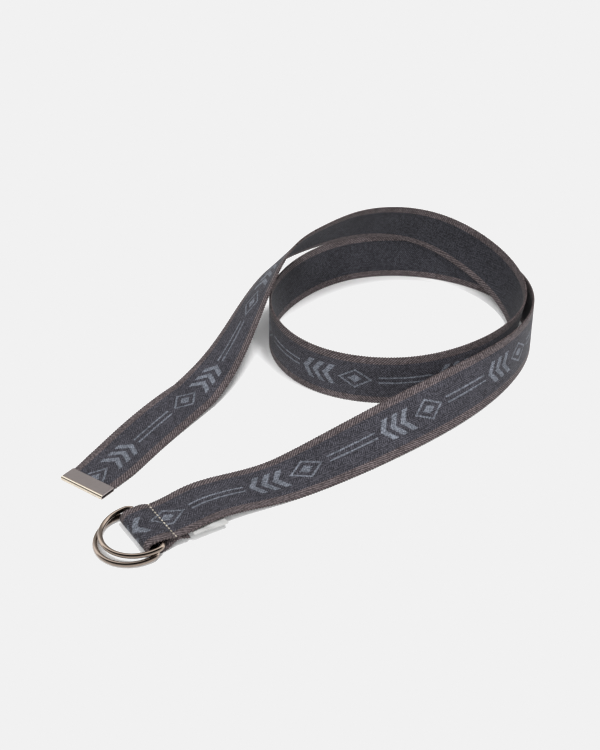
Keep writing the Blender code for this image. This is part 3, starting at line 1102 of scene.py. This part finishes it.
@dataclass
class TipClip:
    """A plate folded over the strap's end, with softly rounded edges.

    Attributes:
        strap: The strap.
        length: Length along the strap.
        wall: Thickness of the plate.
        gap: Gap between the plate and the cloth.
        round_edge: Radius of the edges.
        bead_groove: Unit for the groove that sets off the polished bend.
        bead_steps: Places of the groove's corners past the bend, in that unit.
        bead_depth: Depth of the groove as a share of the wall.
        bend_points: Points round the bend.
    """

    strap: WebbingStrap
    length: float = 9.0 * MM
    wall: float = 0.4 * MM
    gap: float = 0.3 * MM
    round_edge: float = 0.12 * MM
    bead_groove: float = 0.28 * MM
    bead_steps: tuple = (2.0, 1.5, 1.0, 0.4)
    bead_depth: float = 0.55
    bend_points: int = 17

    def build(self, finish: bpy.types.Material, nose_finish: bpy.types.Material) -> bpy.types.Object:
        """Fold the plate and round its edges.

        Args:
            finish: The plate's material.
            nose_finish: Material of the polished bend at its end, tinted far lighter than the plate: a
                painted highlight.

        Returns:
            The clip.
        """
        outer = 0.5 * self.strap.pinched + self.gap + self.wall
        inner = outer - self.wall
        ribbon = self.strap.ribbon
        along = unit(ribbon.centre[2] - ribbon.centre[0])
        end = ribbon.centre[0] - along * ribbon.arc[0]
        a, f = ribbon.across[0], ribbon.face[0]
        bead = outer + np.array([self.bead_groove * k for k in self.bead_steps])
        dips = (0.0, self.bead_depth * self.wall, self.bead_depth * self.wall, 0.0)
        turn = np.linspace(math.pi / 2, 3 * math.pi / 2, self.bend_points)
        outline = [(self.length, outer)] + [(s, outer - d) for s, d in zip(bead, dips)]
        outline += [(outer + outer * math.cos(t), outer * math.sin(t)) for t in turn]
        nose = range(len(bead) - 1, len(outline) - 1)
        outline += [(self.length, -outer), (self.length, -inner)]
        outline += [(outer + inner * math.cos(t), inner * math.sin(t)) for t in reversed(turn)]
        outline += [(s, inner) for s in reversed(bead)] + [(self.length, inner)]
        bm = bmesh.new()
        half = 0.5 * self.strap.clip_width
        sides = [[bm.verts.new(end + s * along + h * f + offset * a) for s, h in outline]
                 for offset in (-half, half)]
        count = len(outline)
        for i in range(count):
            j = (i + 1) % count
            face = bm.faces.new((sides[0][i], sides[0][j], sides[1][j], sides[1][i]))
            face.material_index = 1 if i in nose else 0
        for ring in sides:
            for i in range(count // 2 - 1):
                bm.faces.new((ring[i], ring[i + 1], ring[count - 2 - i], ring[count - 1 - i]))
        sharp = [e for e in bm.edges if len(e.link_faces) == 2
                 and e.calc_face_angle(0.0) > math.radians(60.0)]
        bmesh.ops.bevel(bm, geom=sharp, offset=self.round_edge, segments=3, affect="EDGES")
        clip = mesh_object("tip_clip", bm, finish)
        clip.data.materials.append(nose_finish)
        return clip


@dataclass
class CareLabel:
    """A short tape sewn under the strap, lying a little past its near edge.

    Attributes:
        strap: The strap.
        width: Width of the tape.
        thickness: Its thickness.
        out_of_edge: How far it shows past the strap's edge.
        ripple: Height of its ripples.
        ripple_across: Half waves of ripple across it.
        ripple_along: Radians that the ripple moves on for each mm along it.
        profile: Its middle line, seen from the pocket's side.
    """

    strap: WebbingStrap
    width: float = 20.0 * MM
    thickness: float = 0.4 * MM
    out_of_edge: float = 1.1 * MM
    ripple: float = 0.22 * MM
    ripple_across: float = 7.0
    ripple_along: float = 0.5
    # spot, out of the stitch line mm, height mm
    profile: tuple = (
        ("sewn end under the strap", -8.5, 4.65),
        ("falling", -13.0, 4.55),
        ("under the arch", -20.0, 3.95),
        ("free end", -27.0, 3.3),
    )

    def build(self, finish: bpy.types.Material) -> bpy.types.Object:
        """Skin the tape with a slight ripple across it.

        Args:
            finish: Satin material.

        Returns:
            The label.
        """
        line = np.array([row[1:] for row in self.profile]) * MM
        knots = chord_knots(line)
        spots = np.linspace(0.0, knots[-1], 40)
        profile = natural_spline(knots, line, spots)
        near = self.strap.sideways if self.strap.sideways[1] < 0 else -self.strap.sideways
        shift = 0.5 * (self.strap.width - self.width) + self.out_of_edge
        centre, across, face = self.strap.sections(profile, self.strap.foot + shift * near)
        bm = bmesh.new()
        uv_layer = bm.loops.layers.uv.new("label")
        spread = np.linspace(-0.5, 0.5, 21)
        rows, marks = [], []
        for i, arc in enumerate(spots):
            ease = math.sin(math.pi * i / (len(spots) - 1))
            ring = []
            for side in (0.5, -0.5):
                for s in (spread if side > 0 else spread[::-1]):
                    phase = self.ripple_across * s * math.pi + self.ripple_along * arc / MM
                    ripple = self.ripple * ease * math.sin(phase)
                    ring.append((s * self.width, side * self.thickness + ripple))
            rows.append([bm.verts.new(centre[i] + p * across[i] + q * face[i]) for p, q in ring])
            marks.append([p for p, _ in ring])
        count = len(rows[0])
        for i in range(len(rows) - 1):
            for j in range(count):
                k = (j + 1) % count
                quad = bm.faces.new((rows[i][j], rows[i][k], rows[i + 1][k], rows[i + 1][j]))
                for loop, (row, col) in zip(quad.loops, ((i, j), (i, k), (i + 1, k), (i + 1, j))):
                    loop[uv_layer].uv = (spots[row], marks[row][col])
        for row in (rows[0], rows[-1]):
            half = count // 2
            for j in range(half - 1):
                bm.faces.new((row[j], row[j + 1], row[count - 2 - j], row[count - 1 - j]))
        return mesh_object("care_label_tape", bm, finish)


@dataclass
class Studio:
    """A pale table, a key lamp high on the right, a wide fill in front, and the camera.

    The floor glows faintly and the tone curve caps white at the paper's tone,
    so that mild shadows fade on the table.
    """

    lens_mm: float = 55.86
    camera_mm: tuple = (-9.505, -547.495, 354.054)
    target_mm: tuple = (-9.505, 20.005, 0.054)
    floor_half: float = 60.0
    floor_colour: str = "#f2f2f2"
    floor_glow: float = 0.12
    key_strength: float = 2.6
    key_from: tuple = (0.26, -0.15, 1.0)
    key_angle_deg: float = 14.0
    fill_strength: float = 2.5
    fill_from: tuple = (-0.12, -0.74, 0.66)
    fill_angle_deg: float = 50.0
    sky_strength: float = 0.24
    # What the camera sees past the floor's edge.
    backdrop: float = 1.2
    # What metal mirrors: front to back of the room, place and strength.
    room: tuple = ((0.0, 0.03), (0.1, 0.05), (0.24, 3.2), (0.5, 3.0), (0.72, 0.8), (1.0, 0.3))
    # A soft light low all round it: fades out between these heights from this strength.
    low_light: tuple = (0.3, 0.5, 0.7)
    paper_white: float = 0.8796

    def build(self) -> None:
        """Set the floor, the light and the camera."""
        self._floor()
        self._sky()
        self._lamp("key", self.key_strength, self.key_from, self.key_angle_deg)
        self._lamp("fill", self.fill_strength, self.fill_from, self.fill_angle_deg)
        self._camera()
        view = bpy.context.scene.view_settings
        view.view_transform = "Standard"
        view.look = "None"
        view.use_curve_mapping = True
        curve = view.curve_mapping
        curve.extend = "HORIZONTAL"
        for point, place in zip(curve.curves[3].points, ((0.0, 0.0), (1.0, self.paper_white))):
            point.location = place
            point.handle_type = "VECTOR"
        curve.update()

    def _floor(self) -> None:
        """Lay the pale table top."""
        h = self.floor_half
        bm = bmesh.new()
        bm.faces.new([bm.verts.new((x, y, 0.0)) for x, y in ((-h, -h), (h, -h), (h, h), (-h, h))])
        mesh = bpy.data.meshes.new("studio_floor")
        bm.to_mesh(mesh)
        bm.free()
        floor = bpy.data.objects.new("studio_floor", mesh)
        bpy.context.scene.collection.objects.link(floor)
        material = bpy.data.materials.new("matte_white_board")
        material.use_nodes = True
        shader = material.node_tree.nodes["Principled BSDF"]
        shader.inputs["Base Color"].default_value = linear(self.floor_colour)
        shader.inputs["Roughness"].default_value = 1.0
        shader.inputs["Specular IOR Level"].default_value = 0.0
        shader.inputs["Emission Color"].default_value = linear(self.floor_colour)
        shader.inputs["Emission Strength"].default_value = self.floor_glow
        mesh.materials.append(material)

    def _sky(self) -> None:
        """Set even soft light all round, and the bright and dark room that metal mirrors."""
        world = bpy.data.worlds.new("studio_sky")
        bpy.context.scene.world = world
        world.use_nodes = True
        tree = world.node_tree
        tree.nodes.clear()
        way = add_node(tree, "ShaderNodeTexCoord").outputs["Generated"]
        axes = add_node(tree, "ShaderNodeSeparateXYZ", None, {0: way}).outputs
        from_height, to_height, strength = self.low_light
        low = add_node(tree, "ShaderNodeMapRange", {"interpolation_type": "SMOOTHSTEP"},
                       {0: axes[2], 1: from_height, 2: to_height, 3: strength, 4: 0.0}).outputs[0]
        ramp = add_node(tree, "ShaderNodeValToRGB", None, {0: axes[1]})
        elements = ramp.color_ramp.elements
        while len(elements) < len(self.room):
            elements.new(0.5)
        for element, (position, value) in zip(elements, self.room):
            element.position = position
            element.color = (value, value, value, 1.0)
        room = add_node(tree, "ShaderNodeMath", {"operation": "MAXIMUM"},
                        {0: ramp.outputs[0], 1: low}).outputs[0]
        path = add_node(tree, "ShaderNodeLightPath").outputs
        backdrop = add_node(tree, "ShaderNodeMix", {"data_type": "FLOAT"},
                            {0: path["Is Camera Ray"], 2: self.sky_strength, 3: self.backdrop}).outputs[0]
        strength = add_node(tree, "ShaderNodeMix", {"data_type": "FLOAT"},
                            {0: path["Is Glossy Ray"], 2: backdrop, 3: room}).outputs[0]
        glow = add_node(tree, "ShaderNodeBackground", None, {"Strength": strength})
        add_node(tree, "ShaderNodeOutputWorld", None, {"Surface": glow.outputs[0]})

    def _lamp(self, name: str, strength: float, source: tuple, angle_deg: float) -> None:
        """Add a wide soft lamp that metal doesn't mirror.

        Args:
            name: Lamp's name.
            strength: Light on a surface that faces it.
            source: Direction that it shines from.
            angle_deg: How wide it looks; wider gives softer shadows.
        """
        light = bpy.data.lights.new(name, "SUN")
        light.energy = strength
        light.angle = math.radians(angle_deg)
        lamp = bpy.data.objects.new(name, light)
        lamp.visible_glossy = False
        bpy.context.scene.collection.objects.link(lamp)
        lamp.rotation_euler = Vector(source).to_track_quat("Z", "Y").to_euler()

    def _camera(self) -> None:
        """Aim the camera from the photograph's height and side."""
        data = bpy.data.cameras.new("camera")
        data.sensor_fit = "VERTICAL"
        data.sensor_height = 36.0
        data.lens = self.lens_mm
        data.clip_start = 0.01
        camera = bpy.data.objects.new("camera", data)
        bpy.context.scene.collection.objects.link(camera)
        place = Vector(self.camera_mm) * MM
        camera.location = place
        camera.rotation_euler = (Vector(self.target_mm) * MM - place).to_track_quat("-Z", "Y").to_euler()
        bpy.context.scene.camera = camera


def main() -> None:
    """Build the belt's pieces and the studio, and seat the pieces."""
    logging.basicConfig(level=logging.INFO, format="%(name)s %(message)s")
    Studio().build()
    webbing = WebbingFinish().build()
    strap = WebbingStrap()
    webbing_piece = strap.build(webbing)
    seat(webbing_piece, "strap")
    edge_thread = ThreadFinish("taupe_weft_thread", "#625858", "#2e2728").build()
    seat(Selvedges(strap).build(edge_thread))
    sewing_thread = ThreadFinish("pale_sewing_thread", "#d8d1c3", "#9c9488").build()
    seat(StitchRow(strap).build(sewing_thread))
    upper = GunmetalFinish("polished_gunmetal_upper", "#94867b", 0.06).build()
    # The lower ring's tint is a little darker than the upper's: painted shade for the ring that lies under
    # the other.
    lower = GunmetalFinish("polished_gunmetal_lower", "#8f8278", 0.07).build()
    upper_ring = DRing("upper_ring_wire", strap, out=12.0 * MM, aside=0.7 * MM,
                       bar_height=5.46 * MM, fall=0.055)
    seat(upper_ring.build(upper), "ring_upper")
    lower_ring = DRing("lower_ring_wire", strap, out=15.2 * MM, aside=0.0,
                       bar_height=2.62 * MM, fall=0.065)
    seat(lower_ring.build(lower), "ring_lower")
    # The bend's tint is far lighter than the plate's: a painted highlight along the polished bend, on top
    # of its real lower roughness.
    nose = GunmetalFinish("polished_clip_bend_painted_highlight", "#d6cab9", 0.16).build()
    seat(TipClip(strap).build(SatinPlateFinish().build(), nose), "strap_tip")
    label = CareLabel(strap).build(SatinLabelFinish().build())
    seat(label, "care_label")


if __name__ == "__main__":
    main()
